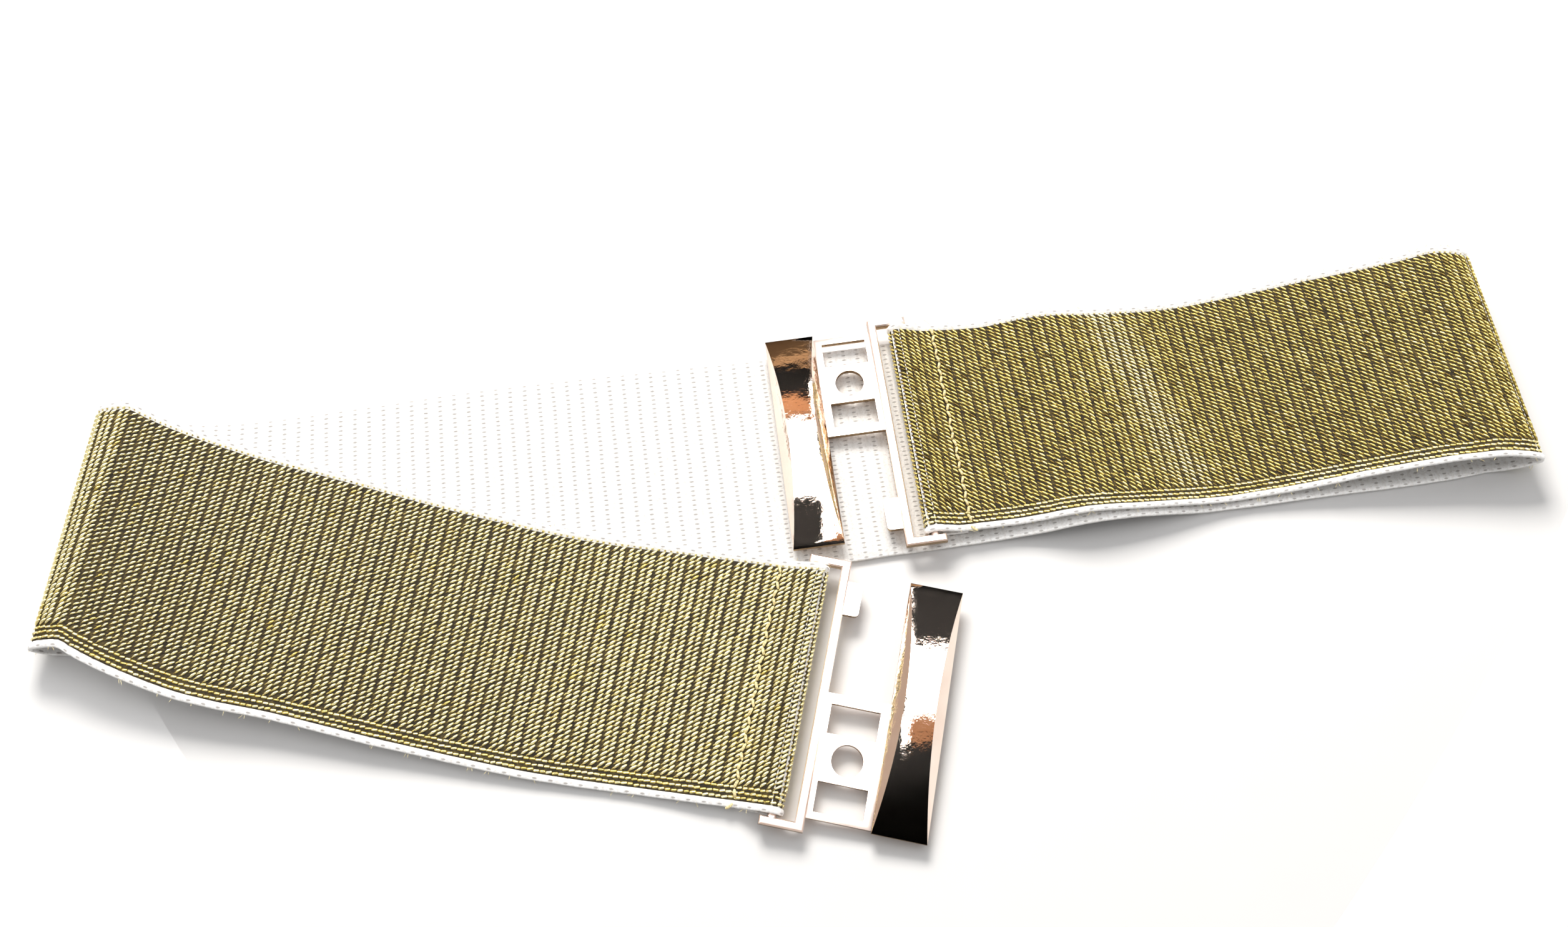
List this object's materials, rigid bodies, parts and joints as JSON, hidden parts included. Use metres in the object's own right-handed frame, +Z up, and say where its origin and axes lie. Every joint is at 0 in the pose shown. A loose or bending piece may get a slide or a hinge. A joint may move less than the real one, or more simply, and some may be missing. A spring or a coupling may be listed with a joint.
{
  "type": "elastic stretch belt",
  "caption": "Wide gold elastic stretch belt, unfastened and folded flat, with a sewn eye at each end holding one half of an interlocking bar clasp.",
  "frame": {"origin": "middle of the belt's bounding box, on the surface that the belt lies on", "axes": "+X along the folded belt towards the fold beside the upper clasp half, +Y across the elastic away from the open clasp, +Z up"},
  "size_m": [0.3714, 0.1542, 0.012],
  "materials": {
    "gold_elastic": "metallic gold thread woven in slanted floats over a ribbed elastic ground",
    "white_elastic": "matt white woven elastic, on the reverse and along both edges",
    "stitch_thread": "pale yellow sewing thread",
    "pale_gold_metal": "polished pale rose gold plating"
  },
  "bodies": {
    "belt": {"elastic_band": "gold_elastic"},
    "upper_clasp": {"clasp_half_upper": "pale_gold_metal"},
    "lower_clasp": {"clasp_half_lower": "pale_gold_metal"}
  },
  "joints": [
    {"name": "clasp_upper_swing", "type": "hinge", "parent": "belt", "child": "upper_clasp", "pos_m": [0.02701, 0.0269, 0.00436], "axis": [-0.1217, 0.9926, 0], "range_deg": [0, 135]},
    {"name": "clasp_lower_swing", "type": "hinge", "parent": "belt", "child": "lower_clasp", "pos_m": [-0.0038, -0.04095, 0.00338], "axis": [-0.1938, -0.9807, -0.025], "range_deg": [0, 135]}
  ]
}
